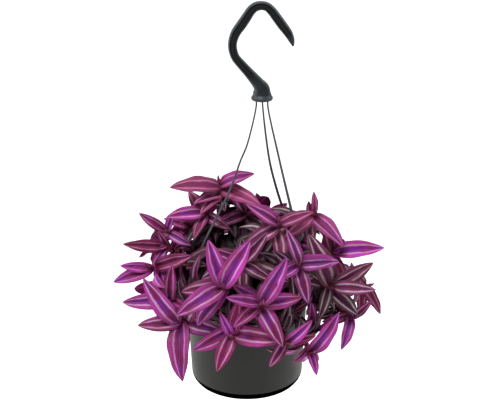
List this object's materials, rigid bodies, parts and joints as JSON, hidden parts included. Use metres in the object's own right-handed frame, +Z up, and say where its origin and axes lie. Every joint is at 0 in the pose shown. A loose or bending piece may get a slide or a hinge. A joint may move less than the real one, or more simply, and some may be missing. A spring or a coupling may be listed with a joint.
{
  "type": "potted tradescantia in a hanging pot",
  "caption": "Hanging plastic pot with a clipped-on drip saucer, a hook on slim straps, and striped purple tradescantia stems that spill over its rim.",
  "frame": {"origin": "the hook's hang point: the middle of the underside of the crook's top, where it sits on a rail", "axes": "+Z up along the pot's axis, +X towards the side that the hook's crook opens to, -Y towards the front"},
  "size_m": [0.3019, 0.2714, 0.4515],
  "materials": {
    "pot_plastic": "satin moulded dark grey",
    "saucer_plastic": "satin moulded black",
    "soil": "damp loose potting soil",
    "hook_plastic": "satin moulded dark grey",
    "strap_plastic": "satin moulded dark grey",
    "leaf": "fleshy striped leaf, satin"
  },
  "bodies": {
    "root": {"pot": "pot_plastic", "drip_saucer": "saucer_plastic", "potting_soil": "soil", "hanger_hook": "hook_plastic", "strap_left": "strap_plastic", "strap_back": "strap_plastic", "strap_front": "strap_plastic", "leafy_stem_01": "leaf", "leafy_stem_02": "leaf", "leafy_stem_03": "leaf", "leafy_stem_04": "leaf", "leafy_stem_05": "leaf", "leafy_stem_06": "leaf", "leafy_stem_07": "leaf", "leafy_stem_08": "leaf", "leafy_stem_09": "leaf", "leafy_stem_10": "leaf", "leafy_stem_11": "leaf", "leafy_stem_12": "leaf", "leafy_stem_13": "leaf", "leafy_stem_14": "leaf", "leafy_stem_15": "leaf", "leafy_stem_16": "leaf", "leafy_stem_17": "leaf", "leafy_stem_18": "leaf", "leafy_stem_19": "leaf", "leafy_stem_20": "leaf", "leafy_stem_21": "leaf", "leafy_stem_22": "leaf", "leafy_stem_23": "leaf", "leafy_stem_24": "leaf", "leafy_stem_25": "leaf", "leafy_stem_26": "leaf", "leafy_stem_27": "leaf", "leafy_stem_28": "leaf", "leafy_stem_29": "leaf", "leafy_stem_30": "leaf", "leafy_stem_31": "leaf", "leafy_stem_32": "leaf", "leafy_stem_33": "leaf", "leafy_stem_34": "leaf", "leafy_stem_35": "leaf", "leafy_stem_36": "leaf"}
  },
  "joints": []
}
